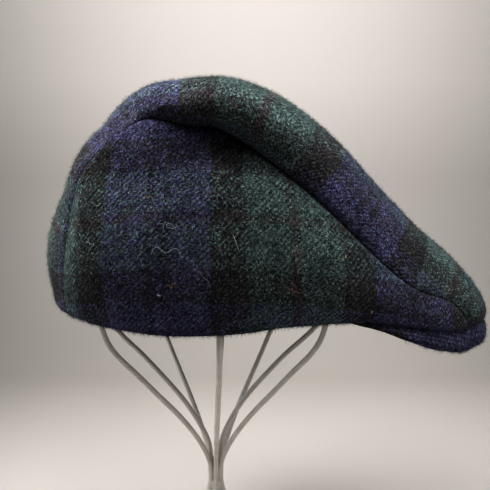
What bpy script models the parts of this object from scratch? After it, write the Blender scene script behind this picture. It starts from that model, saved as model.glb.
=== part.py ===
"""A woollen flat cap resting on a welded wire hat stand.

Metres, +Z up. X runs from the back of the cap to its peak, Y across it, and the
near half is the one at negative Y. While the shapes are made, the stand's axis is
at X = 0. At the end everything moves along X, so that the middle of the whole
thing's box stands over the origin.
"""
from collections import namedtuple
import math

import bpy
from mathutils import Vector
from mathutils.bvhtree import BVHTree
import numpy as np

# Cap
cap_length = 0.284
rim_width = 0.168
rim_height = 0.2165
crown_height = 0.139
seam_inset = 0.020
edge_fall = 0.013
side_belly = 0.013
crown_fullness = 1.15
cloth_wall = 0.002

# Peak
peak_wall = 0.004
head_front_x = 0.060
head_front_depth = 0.050
head_front_width = 0.130
head_front_turn = 70.0
root_rise = 0.0015
lip_radius = 0.021
seat_turn = 50.0
lip_turn = 38.0

# Fits
seam_gap = 0.0005
seat_gap = 0.0005
rest_gap = 0.0008
rest_reach = 0.004
rim_clearance = 0.0025
back_clearance = 0.010

# Stand
wire_diameter = 0.0035
waist_height = 0.075
waist_radius = 0.0038
weld_radius = 0.0045
weld_length = 0.008
foot_radius = 0.080
hub_radius = 0.009
hub_thickness = 0.004
hub_grip = 0.0045

# Fineness of the meshes
tip_share = 0.008
side_rows = 9
top_rows = 9
back_steps = 25
front_steps = 9
lip_steps = 4
wire_sides = 6
wire_steps = 30
foot_steps = 48
round_sides = 16
sharp_angle = 40.0
hold_power = 8
mitre_floor = 0.7
tiny_step = 1e-4
near_zero = 1e-9

# The cap in sections from back to front, one row for each place along the seam.
# along      how far along the seam, from its back end to its front end
# edge_*     the crown's lower edge: shares of the cap's length, half its rim width, its edge fall
# seam_*     from the edge to the seam: shares of the length, the inset and the crown's height
# centre_*   from the edge to the cap's centre line: shares of the length and the crown's height
# curl       degrees that the top panel has turned through where it meets the seam
# belly      how far the side panel swells: share of the side belly
Section = namedtuple(
    "Section", "along edge_x edge_y edge_z seam_x seam_y seam_z centre_x centre_z curl belly")
SECTIONS = [
    Section(0.000, -0.287, 0.599, 0.04, 0.000, 0.000, 0.000, -0.062, -0.014, 40, 0.00),
    Section(0.123, -0.232, 0.768, 0.04, -0.041, 0.395, 0.327, -0.126, 0.309, 50, 0.40),
    Section(0.180, -0.202, 0.833, 0.02, -0.049, 0.510, 0.500, -0.117, 0.488, 55, 0.55),
    Section(0.237, -0.169, 0.887, 0.00, -0.058, 0.635, 0.616, -0.108, 0.667, 60, 0.70),
    Section(0.306, -0.116, 0.952, -0.04, -0.046, 0.910, 0.747, -0.074, 0.878, 80, 0.85),
    Section(0.355, -0.070, 0.983, -0.06, -0.034, 1.050, 0.806, -0.049, 0.962, 104, 0.95),
    Section(0.407, -0.021, 0.998, -0.04, -0.017, 1.250, 0.778, -0.025, 0.988, 124, 0.98),
    Section(0.452, 0.028, 1.000, 0.00, -0.008, 1.400, 0.765, 0.000, 0.982, 132, 1.00),
    Section(0.489, 0.070, 0.994, 0.06, -0.006, 1.350, 0.715, 0.014, 0.955, 131, 1.00),
    Section(0.567, 0.141, 0.964, 0.23, 0.007, 1.000, 0.576, 0.042, 0.842, 118, 0.95),
    Section(0.653, 0.215, 0.905, 0.23, 0.019, 0.700, 0.428, 0.063, 0.688, 101, 0.85),
    Section(0.763, 0.306, 0.804, 0.08, 0.030, 0.325, 0.244, 0.074, 0.485, 80, 0.60),
    Section(0.852, 0.398, 0.720, -0.31, 0.028, 0.275, 0.145, 0.074, 0.345, 65, 0.40),
    Section(0.938, 0.489, 0.589, -0.77, 0.027, 0.375, 0.097, 0.074, 0.228, 60, 0.25),
    Section(0.965, 0.521, 0.524, -0.92, 0.018, 0.250, 0.061, 0.082, 0.150, 66, 0.15),
    Section(0.985, 0.541, 0.474, -0.98, 0.009, 0.140, 0.027, 0.085, 0.071, 71, 0.05),
    Section(1.000, 0.551, 0.434, -1.00, 0.000, 0.000, 0.000, 0.075, 0.016, 75, 0.00),
]

# The section where the peak begins
CORNER = SECTIONS[11].along

# Dents in the cloth, each along a straight line between two places on a panel.
# The shares run from the edge to the seam on a side, and from the near to the far seam on top.
# Reach and depth are shares of the crown's height. A depth below zero makes a ridge.
Fold = namedtuple("Fold", "panel from_along from_share to_along to_share reach depth")
FOLDS = [
    Fold("side", 0.45, 0.90, 0.33, 0.74, 0.08, 0.022),
    Fold("top", 0.33, -0.85, 0.27, -0.20, 0.09, 0.016),
    Fold("top", 0.29, -0.90, 0.41, -0.55, 0.08, 0.026),
    Fold("top", 0.36, -0.86, 0.49, -0.72, 0.06, -0.022),
    Fold("top", 0.39, -0.95, 0.50, -0.95, 0.05, 0.018),
    Fold("top", 0.42, -0.62, 0.39, -0.10, 0.10, 0.007),
]

# The peak's section, one row for each place along the crown's edge from the corner to the front.
# seat and lip are shares of the seat's and the lip's turn, round a share of the lip's radius and
# wall a share of the peak's wall.
Lip = namedtuple("Lip", "along seat lip round wall")
LIPS = [
    Lip(0.00, 0.10, 0.10, 1.00, 0.35),
    Lip(0.15, 0.55, 0.70, 1.00, 0.80),
    Lip(0.30, 0.85, 0.90, 1.00, 1.00),
    Lip(0.50, 1.00, 1.00, 1.00, 1.00),
    Lip(0.75, 1.25, 0.95, 0.98, 1.00),
    Lip(1.00, 1.50, 0.92, 0.95, 1.00),
]

# Shares of the peak's straight run and of its shoulder's turn where its section has points
PEAK_RUN = (0.0, 0.5)
PEAK_SHOULDER = (0.0, 0.35, 0.7, 1.0)

# One wire from the foot ring up to the hub, one row for each bend.
# The radius is a share of the foot's or the balloon's radius. The height is a share of the way
# from the foot ring to the waist, from the waist to the rim, or from the rim to the hub.
Bend = namedtuple("Bend", "part radius height")
BENDS = [
    Bend("leg", 1.00, 0.01),
    Bend("leg", 0.94, 0.06),
    Bend("leg", 0.78, 0.17),
    Bend("leg", 0.50, 0.36),
    Bend("leg", 0.26, 0.58),
    Bend("leg", 0.11, 0.80),
    Bend("waist", 0.00, 0.00),
    Bend("balloon", 0.023, 0.09),
    Bend("balloon", 0.087, 0.20),
    Bend("balloon", 0.195, 0.32),
    Bend("balloon", 0.341, 0.44),
    Bend("balloon", 0.530, 0.57),
    Bend("balloon", 0.726, 0.70),
    Bend("balloon", 0.925, 0.84),
    Bend("dome", 1.00, 0.00),
    Bend("dome", 0.99, 0.20),
    Bend("dome", 0.85, 0.52),
    Bend("dome", 0.52, 0.84),
]

# The wires as they are bent: turn is where each stands around the stand's axis, in degrees from
# the near side, wide a share of the balloon's radius, and late how late the wire leaves the axis
# on its way up (1 is as in the table of bends).
Wire = namedtuple("Wire", "turn wide late")
WIRES = [
    Wire(5.5, 1.00, 0.83),
    Wire(61.5, 1.04, 0.90),
    Wire(96.0, 1.05, 1.32),
    Wire(137.0, 1.00, 0.82),
    Wire(176.5, 1.00, 1.00),
    Wire(223.5, 1.00, 0.82),
    Wire(269.0, 0.98, 1.19),
    Wire(302.5, 1.01, 0.90),
]


def clear_scene():
    for item in list(bpy.data.objects):
        bpy.data.objects.remove(item, do_unlink=True)


def material(name, colour, roughness, metallic=0.0):
    made = bpy.data.materials.new(name)
    made.use_nodes = True
    shader = made.node_tree.nodes["Principled BSDF"]
    shader.inputs["Base Color"].default_value = (*colour, 1.0)
    shader.inputs["Roughness"].default_value = roughness
    shader.inputs["Metallic"].default_value = metallic
    return made


def add_object(name, vertices, faces, finish, collection=None):
    mesh = bpy.data.meshes.new(name)
    mesh.from_pydata([tuple(v) for v in vertices], [], faces)
    if finish:
        mesh.materials.append(finish)
    mesh.shade_smooth()
    mesh.set_sharp_from_angle(angle=math.radians(sharp_angle))
    made = bpy.data.objects.new(name, mesh)
    (collection or bpy.context.collection).objects.link(made)
    return made


def unit(vectors):
    return vectors / np.linalg.norm(vectors, axis=-1, keepdims=True)


def mirrored(points):
    return points * (1, -1, 1)


def natural_spline(knots, values, at):
    """Read the natural cubic curve through values, which lie at knots, at other places."""
    knots = np.asarray(knots, float)
    values = np.asarray(values, float)
    at = np.asarray(at, float)
    count = len(knots)
    steps = np.diff(knots)
    slopes = np.diff(values) / steps
    system = np.eye(count)
    right = np.zeros(count)
    for i in range(1, count - 1):
        system[i, i - 1:i + 2] = (steps[i - 1], 2 * (steps[i - 1] + steps[i]), steps[i])
        right[i] = 6 * (slopes[i] - slopes[i - 1])
    bends = np.linalg.solve(system, right)
    k = np.clip(np.searchsorted(knots, at, side="right") - 1, 0, count - 2)
    before = at - knots[k]
    after = knots[k + 1] - at
    cubic = (bends[k] * after ** 3 + bends[k + 1] * before ** 3) / (6 * steps[k])
    start = (values[k] / steps[k] - bends[k] * steps[k] / 6) * after
    end = (values[k + 1] / steps[k] - bends[k + 1] * steps[k] / 6) * before
    return cubic + start + end


def section_column(name, at):
    knots = [row.along for row in SECTIONS]
    return natural_spline(knots, [getattr(row, name) for row in SECTIONS], at)


def edge_points(at):
    """Lower edge of the crown on the near half."""
    x = section_column("edge_x", at) * cap_length
    y = -section_column("edge_y", at) * rim_width / 2
    z = rim_height + section_column("edge_z", at) * edge_fall
    return np.stack([x, y, z], axis=-1)


def seam_points(at):
    """Seam between the near side panel and the top panel."""
    x = section_column("seam_x", at) * cap_length
    y = section_column("seam_y", at) * seam_inset
    z = section_column("seam_z", at) * crown_height
    return edge_points(at) + np.stack([x, y, z], axis=-1)


def centre_points(at):
    edge = edge_points(at)
    x = edge[:, 0] + section_column("centre_x", at) * cap_length
    z = edge[:, 2] + section_column("centre_z", at) * crown_height
    return np.stack([x, 0 * x, z], axis=-1)


def stations():
    """Places along the seam, with a short tip at each end and one place at the peak's corner."""
    back = np.linspace(tip_share, CORNER, back_steps + 1)
    front = np.linspace(CORNER, 1 - tip_share, front_steps + 1)
    return np.concatenate([[0.0], back, front[1:], [1.0]])


def top_points(at, shares):
    """Top panel from the near seam, share -1, over the centre line to the far seam, share 1."""
    seam = seam_points(at)[:, None, :]
    centre = centre_points(at)[:, None, :]
    turn = np.radians(section_column("curl", at))[:, None]
    angle = turn * np.abs(shares)[None, :]
    fall = ((1 - np.cos(angle)) / (1 - np.cos(turn))) ** crown_fullness
    points = centre + (seam * (1, 0, 1) - centre) * fall[..., None]
    half = seam[..., 1] / np.sin(turn) * np.sin(angle)
    points[..., 1] = -half * np.sign(shares)[None, :]
    return points


def side_points(at, shares):
    """Near side panel from the crown's edge, share 0, up to the seam, share 1."""
    edge = edge_points(at)
    seam = seam_points(at)
    run = np.gradient(edge, at, axis=0)
    out = unit(np.stack([run[:, 1], -run[:, 0], 0 * run[:, 0]], axis=-1))
    swell = section_column("belly", at)[:, None] * side_belly * 4 * shares * (1 - shares)
    straight = edge[:, None, :] + (seam - edge)[:, None, :] * shares[None, :, None]
    return straight + out[:, None, :] * swell[..., None]


def grid_normals(points):
    along = np.gradient(points, axis=0)
    across = np.gradient(points, axis=1)
    return unit(np.cross(along, across))


def press_folds(panel, points, place, free):
    """Push a panel's folds in. Place reads a point of the panel, and free tells how far each moves."""
    inward = -grid_normals(points)
    for fold in FOLDS:
        if fold.panel != panel:
            continue
        start = place(fold.from_along, fold.from_share)
        line = place(fold.to_along, fold.to_share) - start
        part = np.clip((points - start) @ line / (line @ line), 0, 1)
        distance = np.linalg.norm(points - start - part[..., None] * line, axis=-1)
        press = np.exp(-(distance / (fold.reach * crown_height)) ** 2) * free
        points = points + inward * (press * fold.depth * crown_height)[..., None]
    return points


def hold_ends(shares):
    """How freely a panel's points may move: not at all where the share is -1 or 1."""
    return (1 - shares ** hold_power)[None, :]


def read_place(panel_points):
    """A reader for one point of a panel, from its place along the seam and its share."""
    def place(along, share):
        return panel_points(np.array([along - tiny_step, along]), np.array([share]))[1, 0]
    return place


def mitre(first, second):
    """Shared thickness direction where two walls meet."""
    middle = unit(first + second)
    lean = np.sum(middle * first, axis=-1, keepdims=True)
    return middle / np.clip(lean, mitre_floor, 1.0)


def peak_edge(at, shares):
    """The crown's edge over the near half of the peak, from the corner to the front centre."""
    side = edge_points(at[at > CORNER - near_zero])
    front = top_points(at[-1:], shares[shares < near_zero])[0]
    return np.concatenate([side, front[1:]])


def run_shares(points):
    """How far along its own length each point of a line lies, from 0 to 1."""
    lengths = np.linalg.norm(np.diff(points, axis=0), axis=1)
    runs = np.concatenate([[0], np.cumsum(lengths)])
    return runs / runs[-1]


def lip_column(name, places):
    return np.interp(places, [row.along for row in LIPS], [getattr(row, name) for row in LIPS])


def head_front(places):
    """The peak's inner line on the near half: an oval arc around the front of the head opening."""
    turn = np.radians(head_front_turn * (1 - places))
    x = head_front_x + head_front_depth * np.cos(turn)
    y = -head_front_width / 2 * np.sin(turn)
    return np.stack([x, y, np.full(len(places), rim_height + root_rise)], axis=-1)


def peak_top(edge):
    """Top face of the peak's near half, a row for each edge point, out to the end of the lip."""
    places = run_shares(edge)
    root = head_front(places)[:, None, :]
    edge = edge[:, None, :]
    out = unit((edge - root) * (1, 1, 0))
    up = np.array((0, 0, 1))
    slope = np.radians(lip_column("seat", places) * seat_turn)[:, None]
    more = np.radians(lip_column("lip", places) * lip_turn)[:, None]
    facing = out * np.sin(slope)[..., None] + up * np.cos(slope)[..., None]
    seat = edge - facing * seat_gap
    steps = np.linspace(0, 1, lip_steps + 1)[None, 1:]
    turned = np.concatenate([slope * np.array(PEAK_SHOULDER), slope + more * steps], axis=1)
    radius = lip_column("round", places)[:, None, None] * lip_radius
    reach = radius * (np.sin(turned) - np.sin(slope))[..., None]
    fall = radius * (np.cos(slope) - np.cos(turned))[..., None]
    bend = seat + out * reach - up * fall
    run = np.array(PEAK_RUN)[None, :, None]
    return np.concatenate([root * (1 - run) + bend[:, :1] * run, bend], axis=1)


def peak_outer(edge):
    """The whole peak's top face, a row for each edge point, from the lip's end to the root."""
    near = peak_top(edge)[:, ::-1]
    return np.concatenate([near, mirrored(near[-2::-1])])


def seat_directions(edge):
    """Inward directions along the peak's top where the crown's edge rests on it."""
    top = peak_top(edge)
    last = len(PEAK_RUN + PEAK_SHOULDER) - 1
    return unit(top[:, last - 1] - top[:, last])


def thickness_directions(at, shares, top, side):
    """Inward directions of the top and the side panel, which agree along the seam."""
    top_in = -grid_normals(top)
    side_in = -grid_normals(side)
    shared = mitre(top_in[1:-1, 0], side_in[:, -1])
    side_in[:, -1] = shared
    top_in[1:-1, 0] = shared
    top_in[1:-1, -1] = mirrored(shared)
    side_in[:, 0] = unit(side_in[:, 0] * (1, 1, 0))
    top_in[0] = unit(top_in[0] * (1, 1, 0))
    seats = seat_directions(peak_edge(at, shares))
    on_peak = int(np.sum(at > CORNER - near_zero))
    side_in[1 - on_peak:, 0] = seats[:on_peak - 1]
    front = seats[on_peak - 1:]
    top_in[-1] = np.concatenate([front, mirrored(front[-2::-1])])
    return top_in, side_in


def open_seam(top_grids, side_grids):
    """Part the top panel from the side panel along their seam, on both faces, by the seam's gap."""
    outer, inner = top_grids
    run = np.gradient(outer[:, 0], axis=0)
    away = unit(np.cross(run, inner[:, 0] - outer[:, 0]))
    towards_top = np.sum(away * (outer[:, 1] - outer[:, 0]), axis=-1, keepdims=True)
    shift = away * np.sign(towards_top) * seam_gap / 2
    shift[[0, -1]] = 0
    for grid in top_grids:
        grid[:, 0] += shift
        grid[:, -1] += mirrored(shift)
    for grid in side_grids:
        grid[:, -1] -= shift[1:-1]


def surface_tree(points):
    """A tree for the nearest place on a grid of points."""
    rows, columns = points.shape[:2]
    faces = [
        (i * columns + j, (i + 1) * columns + j, (i + 1) * columns + j + 1, i * columns + j + 1)
        for i in range(rows - 1) for j in range(columns - 1)
    ]
    return BVHTree.FromPolygons([Vector(v) for v in points.reshape(-1, 3)], faces)


def rest_on_peak(inner, tree):
    """Lift the points of a wall's inner face that would lie in the peak onto its top."""
    for place in np.ndindex(inner.shape[:2]):
        point = Vector(inner[place])
        nearest, normal, _, _ = tree.find_nearest(point, rest_reach)
        if nearest is None:
            continue
        normal *= math.copysign(1.0, normal.z)
        height = (point - nearest).dot(normal)
        if height < rest_gap:
            inner[place] += np.array(normal) * (rest_gap - height)


def shell(name, outer, inner, finish):
    """Closed wall between two grids of points, the outer one facing out.

    Its borders are split so that the walls of two panels bend alike where they face each other.
    """
    rows, columns = outer.shape[:2]
    vertices = np.concatenate([outer.reshape(-1, 3), inner.reshape(-1, 3)])

    def index(place, layer):
        return layer * rows * columns + place[0] * columns + place[1]

    faces = []
    for i in range(rows - 1):
        for j in range(columns - 1):
            ring = [(i, j), (i + 1, j), (i + 1, j + 1), (i, j + 1)]
            faces.append([index(place, 0) for place in ring])
            faces.append([index(place, 1) for place in reversed(ring)])
    border = [(i, 0) for i in range(rows)]
    border += [(rows - 1, j) for j in range(1, columns)]
    border += [(i, columns - 1) for i in range(rows - 2, -1, -1)]
    border += [(0, j) for j in range(columns - 2, 0, -1)]
    for first, second in zip(border, border[1:] + border[:1]):
        ring = [index(first, 1), index(second, 1), index(second, 0), index(first, 0)]
        if outer[second][0] < outer[first][0]:
            ring = ring[1:] + ring[:1]
        faces += [ring[:3], [ring[0], ring[2], ring[3]]]
    return add_object(name, vertices, faces, finish)


def crown_grids():
    """Outer and inner grids of the top panel and of the near side panel."""
    at = stations()
    shares = np.linspace(-1, 1, 2 * top_rows + 1)
    side_shares = np.linspace(0, 1, side_rows + 1)
    top = top_points(at, shares)
    top = press_folds("top", top, read_place(top_points), hold_ends(shares))
    top[-1] = top_points(at[-1:], shares)[0]
    side = side_points(at, side_shares)[1:-1]
    side = press_folds("side", side, read_place(side_points), hold_ends(2 * side_shares - 1))
    top_in, side_in = thickness_directions(at, shares, top, side)
    top_inner = top + top_in * cloth_wall
    side_inner = side + side_in * cloth_wall
    open_seam((top, top_inner), (side, side_inner))
    peak_tree = surface_tree(peak_outer(peak_edge(at, shares)))
    rest_on_peak(side_inner[:, 1:], peak_tree)
    rest_on_peak(top_inner[:-1], peak_tree)
    return top, top_inner, side, side_inner


def top_panel(outer, inner):
    return shell("top_panel", outer, inner, material("top_tweed", (0.030, 0.045, 0.050), 0.95))


def side_panel(name, outer, inner, far):
    finish = material(name + "_tweed", (0.026, 0.036, 0.055), 0.95)
    if far:
        outer = mirrored(outer)[::-1]
        inner = mirrored(inner)[::-1]
    return shell(name, outer, inner, finish)


def peak():
    at = stations()
    edge = peak_edge(at, np.linspace(-1, 1, 2 * top_rows + 1))
    outer = peak_outer(edge)
    wall = lip_column("wall", run_shares(edge)) * peak_wall
    walls = np.concatenate([wall, wall[-2::-1]])[:, None, None]
    inner = outer - grid_normals(outer) * walls
    return shell("peak", outer, inner, material("peak_tweed", (0.018, 0.022, 0.036), 0.95))


def tube(path, radius, sides, closed=False):
    """Vertices and faces of a tube along a path, which lies in one upright plane or is level."""
    path = np.asarray(path, float)
    if closed:
        run = unit(np.roll(path, -1, axis=0) - np.roll(path, 1, axis=0))
        across = np.broadcast_to((0, 0, 1), path.shape)
    else:
        run = unit(np.gradient(path, axis=0))
        flat = unit((path[0] - path[-1]) * (1, 1, 0))
        across = np.broadcast_to(np.cross(flat, (0, 0, 1)), path.shape)
    other = np.cross(run, across)
    turn = (np.arange(sides) + 0.5) * 2 * math.pi / sides
    ring = across[:, None] * np.cos(turn)[None, :, None] + other[:, None] * np.sin(turn)[None, :, None]
    vertices = (path[:, None] + ring * radius).reshape(-1, 3)
    faces = []
    count = len(path)
    for i in range(count if closed else count - 1):
        for j in range(sides):
            k = (j + 1) % sides
            after = (i + 1) % count
            faces.append([i * sides + j, i * sides + k, after * sides + k, after * sides + j])
    if not closed:
        faces.append(list(range(sides))[::-1])
        faces.append([(count - 1) * sides + j for j in range(sides)])
    return vertices, faces


def hub_height(inner):
    """Height of the hub's top, which just clears the inside of the crown."""
    tree = surface_tree(inner)
    heights = []
    for turn in np.arange(round_sides) * 2 * math.pi / round_sides:
        start = Vector((hub_radius * math.cos(turn), hub_radius * math.sin(turn), rim_height))
        heights.append(tree.ray_cast(start, Vector((0, 0, 1)))[0].z)
    return min(heights) - seat_gap


def wire_path(foot_level, hub_level, wire):
    """Radius and height of one wire from the foot ring to the hub."""
    back_reach = (-SECTIONS[0].edge_x - SECTIONS[0].centre_x) * cap_length
    room = min(rim_width / 2 - rim_clearance, back_reach - back_clearance)
    balloon_radius = (room - cloth_wall - wire_diameter / 2) * wire.wide
    levels = {
        "leg": (foot_radius, foot_level, waist_height),
        "waist": (0, waist_height, waist_height),
        "balloon": (balloon_radius, waist_height, rim_height),
        "dome": (balloon_radius, rim_height, hub_level),
    }
    points = []
    for bend in BENDS:
        radius, low, high = levels[bend.part]
        share = bend.radius ** wire.late if bend.part == "balloon" else bend.radius
        points.append((max(share * radius, waist_radius), low + bend.height * (high - low)))
    points.append((hub_grip, hub_level))
    points = np.array(points)
    places = run_shares(points)
    at = np.linspace(0, 1, wire_steps + 1)
    return np.stack([natural_spline(places, points[:, k], at) for k in range(2)], axis=-1)


def stand_piece(name, vertices, faces, collection):
    piece = add_object(name, vertices, faces, None, collection)
    piece.hide_render = True
    piece.display_type = "WIRE"
    return piece


def upright(radius, low, high):
    """Vertices and faces of a short round bar on the stand's axis."""
    turn = np.arange(round_sides) * 2 * math.pi / round_sides
    ring = np.stack([radius * np.cos(turn), radius * np.sin(turn), 0 * turn], axis=-1)
    vertices = np.concatenate([ring + (0, 0, low), ring + (0, 0, high)])
    faces = [list(range(round_sides))[::-1], list(range(round_sides, 2 * round_sides))]
    for j in range(round_sides):
        k = (j + 1) % round_sides
        faces.append([j, k, round_sides + k, round_sides + j])
    return vertices, faces


def wire_stand(hub_top):
    """Bent wires welded to a foot ring, to each other at the waist, and to a hub at the top."""
    pieces = bpy.data.collections.new("stand_pieces")
    bpy.context.scene.collection.children.link(pieces)
    radius = wire_diameter / 2
    foot_level = radius * math.cos(math.pi / wire_sides)
    helpers = []
    for number, wire in enumerate(WIRES):
        turn = math.radians(wire.turn)
        profile = wire_path(foot_level, hub_top - hub_thickness / 2, wire)
        path = np.stack([
            profile[:, 0] * math.sin(turn), -profile[:, 0] * math.cos(turn), profile[:, 1]
        ], axis=-1)
        helpers.append(stand_piece(f"wire_{number + 1}", *tube(path, radius, wire_sides), pieces))
    weld = upright(weld_radius, waist_height - weld_length / 2, waist_height + weld_length / 2)
    helpers.append(stand_piece("waist_weld", *weld, pieces))
    hub = upright(hub_radius, hub_top - hub_thickness, hub_top)
    helpers.append(stand_piece("hub", *hub, pieces))
    turn = np.arange(foot_steps) * 2 * math.pi / foot_steps
    ring = np.stack([
        foot_radius * np.cos(turn), foot_radius * np.sin(turn), 0 * turn + foot_level
    ], axis=-1)
    finish = material("coated_wire", (0.30, 0.27, 0.24), 0.45)
    stand = add_object("wire_stand", *tube(ring, radius, wire_sides, closed=True), finish)
    weld_up = stand.modifiers.new("weld_up", "BOOLEAN")
    weld_up.operation = "UNION"
    weld_up.operand_type = "COLLECTION"
    weld_up.collection = pieces
    return stand, helpers


def centre_over_origin(parts, helpers):
    """Move everything along X until the parts' common box is centred on the origin."""
    bpy.context.view_layer.update()
    graph = bpy.context.evaluated_depsgraph_get()
    reach = [corner[0] for part in parts for corner in part.evaluated_get(graph).bound_box]
    for item in parts + helpers:
        item.location.x -= (min(reach) + max(reach)) / 2


def build():
    clear_scene()
    top_outer, top_inner, side_outer, side_inner = crown_grids()
    stand, helpers = wire_stand(hub_height(top_inner))
    parts = [
        top_panel(top_outer, top_inner),
        side_panel("side_panel_right", side_outer, side_inner, far=False),
        side_panel("side_panel_left", side_outer, side_inner, far=True),
        peak(),
        stand,
    ]
    centre_over_origin(parts, helpers)


build()
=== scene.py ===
from collections import namedtuple
import math

import bpy
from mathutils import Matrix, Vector, noise
from mathutils.bvhtree import BVHTree
import numpy as np


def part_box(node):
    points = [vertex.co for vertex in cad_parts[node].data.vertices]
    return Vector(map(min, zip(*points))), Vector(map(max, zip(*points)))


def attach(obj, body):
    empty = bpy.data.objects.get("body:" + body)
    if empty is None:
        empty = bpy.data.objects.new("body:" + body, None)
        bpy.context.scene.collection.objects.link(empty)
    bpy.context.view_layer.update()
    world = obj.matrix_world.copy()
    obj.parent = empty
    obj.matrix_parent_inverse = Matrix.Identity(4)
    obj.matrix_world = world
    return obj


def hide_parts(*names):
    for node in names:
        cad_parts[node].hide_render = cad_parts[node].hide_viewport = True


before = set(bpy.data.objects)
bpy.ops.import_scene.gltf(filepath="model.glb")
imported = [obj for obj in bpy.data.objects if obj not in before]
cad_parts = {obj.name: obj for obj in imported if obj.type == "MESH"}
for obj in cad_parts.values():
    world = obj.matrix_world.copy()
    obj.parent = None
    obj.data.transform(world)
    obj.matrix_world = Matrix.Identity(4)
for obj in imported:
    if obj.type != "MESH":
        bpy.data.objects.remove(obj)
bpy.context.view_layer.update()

# Cap
cap_length = 0.284
rim_width = 0.168
rim_height = 0.2165
crown_height = 0.139
seam_inset = 0.020
edge_fall = 0.013
side_belly = 0.013
crown_fullness = 1.15
cloth_wall = 0.002

# Peak
peak_wall = 0.004
head_front_x = 0.060
head_front_depth = 0.050
head_front_width = 0.130
head_front_turn = 70.0
root_rise = 0.0015
lip_radius = 0.021
lip_evening = 0.004
seat_turn = 50.0
lip_turn = 38.0

# Fits
seat_gap = 0.0005
rest_gap = 0.0008
rest_reach = 0.004
least_lean = 0.7

# Stand
wire_diameter = 0.0035
waist_height = 0.075
waist_radius = 0.0038
weld_radius = 0.0049
weld_length = 0.008
weld_rounding = 0.0018
foot_radius = 0.080
hub_radius = 0.009
hub_thickness = 0.004
hub_rounding = 0.001
hub_grip = 0.0045
rim_clearance = 0.0025
back_clearance = 0.010
bead_size = (0.0026, 0.0021, 0.0014)
bead_rise = 0.00049
bead_end_turn = 0.12

# Cloth details
hem_radius = 0.0013
hem_least = 0.02
seam_puff = 0.0006
puff_place = 0.0045
puff_reach = 0.0030
ripple_depth = 0.0007
ripple_size = 0.028
ripple_start = 0.006
fine_ripple_depth = 0.00022
fine_ripple_size = 0.0065
ripple_shift = (3.7, 1.9, 0.0)
fold_fade = 8
peak_skew = 0.3

# Weave
thread_pitch = 0.00080
thread_wander = 0.0019
thread_drift = 0.0050
twill_repeat = 4.0
twill_over = 2.0
weft_above = 0.73
weft_blur = 0.08
raised_pull = 0.22
# Raised threads painted lighter and sunken threads darker: painted light and shade on the twill's relief
raised_painted_light = 0.56
sunken_painted_shade = 0.72
fleck_sharpness = 2.6
fleck_light = 2.6
thread_sharpness = 2.4
thread_light = 1.9
raised_height = 0.35
fleck_height = 1.6

# Loose fibres and hairs
rim_fuzz = 7.0
rim_fuzz_reach = 0.0022
fibre_length = 0.0034
fibre_width = 0.00010
fibre_root = 0.0002
fibre_rise = (0.15, 1.0)
fibre_shares = (0.35, 1.0)
fibre_shortness = 1.5
fibre_bends = (0.2, 0.8)
fibre_tip = 0.4
hair_lift = 0.0003
hair_waves = 2
look_from_y = -0.2

# Fineness
tip_share = 0.002
back_steps = 170
front_steps = 64
side_rows = 60
top_rows = 60
lip_steps = 14
run_steps = 10
shoulder_steps = 14
hair_steps = 16
hair_sides = 4
wire_steps = 110
wire_sides = 14
ring_steps = 192
weld_sides = 40
hub_sides = 48
bead_steps = 8
bead_sides = 14
bend_steps = 24
small_step = 1e-4
tiny = 1e-9
least_length = 1e-12

# Backdrop
floor_front = -1.2
bend_start = 0.32
bend_radius = 0.26
bend_first_turn = 0.05
wall_top = 1.6
backdrop_half_width = 1.6

# The photo's camera, placed from the stand's axis
camera_place = (0.021, -0.350, waist_height + 0.240)
camera_fall = 10.7
focal_pixels = 538.0
photo_pixels = 490.0
sensor_millimetres = 36.0
clip_start = 0.01
view_gamma = 0.75

# Where the stand's axis lies in the frame
axis_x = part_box("wire_stand")[0][0] + foot_radius + wire_diameter / 2

# The cap in sections from back to front, as in the solids
Section = namedtuple(
    "Section", "along edge_x edge_y edge_z seam_x seam_y seam_z centre_x centre_z curl belly")
SECTIONS = [
    Section(0.000, -0.287, 0.599, 0.04, 0.000, 0.000, 0.000, -0.062, -0.014, 40, 0.00),
    Section(0.123, -0.232, 0.768, 0.04, -0.041, 0.395, 0.327, -0.126, 0.309, 50, 0.40),
    Section(0.180, -0.202, 0.833, 0.02, -0.049, 0.510, 0.500, -0.117, 0.488, 55, 0.55),
    Section(0.237, -0.169, 0.887, 0.00, -0.058, 0.635, 0.616, -0.108, 0.667, 60, 0.70),
    Section(0.306, -0.116, 0.952, -0.04, -0.046, 0.910, 0.747, -0.074, 0.878, 80, 0.85),
    Section(0.355, -0.070, 0.983, -0.06, -0.034, 1.050, 0.806, -0.049, 0.962, 104, 0.95),
    Section(0.407, -0.021, 0.998, -0.04, -0.017, 1.250, 0.778, -0.025, 0.988, 124, 0.98),
    Section(0.452, 0.028, 1.000, 0.00, -0.008, 1.400, 0.765, 0.000, 0.982, 132, 1.00),
    Section(0.489, 0.070, 0.994, 0.06, -0.006, 1.350, 0.715, 0.014, 0.955, 131, 1.00),
    Section(0.567, 0.141, 0.964, 0.23, 0.007, 1.000, 0.576, 0.042, 0.842, 118, 0.95),
    Section(0.653, 0.215, 0.905, 0.23, 0.019, 0.700, 0.428, 0.063, 0.688, 101, 0.85),
    Section(0.763, 0.306, 0.804, 0.08, 0.030, 0.325, 0.244, 0.074, 0.485, 80, 0.60),
    Section(0.852, 0.398, 0.720, -0.31, 0.028, 0.275, 0.145, 0.074, 0.345, 65, 0.40),
    Section(0.938, 0.489, 0.589, -0.77, 0.027, 0.375, 0.097, 0.074, 0.228, 60, 0.25),
    Section(0.965, 0.521, 0.524, -0.92, 0.018, 0.250, 0.061, 0.082, 0.150, 66, 0.15),
    Section(0.985, 0.541, 0.474, -0.98, 0.009, 0.140, 0.027, 0.085, 0.071, 71, 0.05),
    Section(1.000, 0.551, 0.434, -1.00, 0.000, 0.000, 0.000, 0.075, 0.016, 75, 0.00),
]

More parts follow.
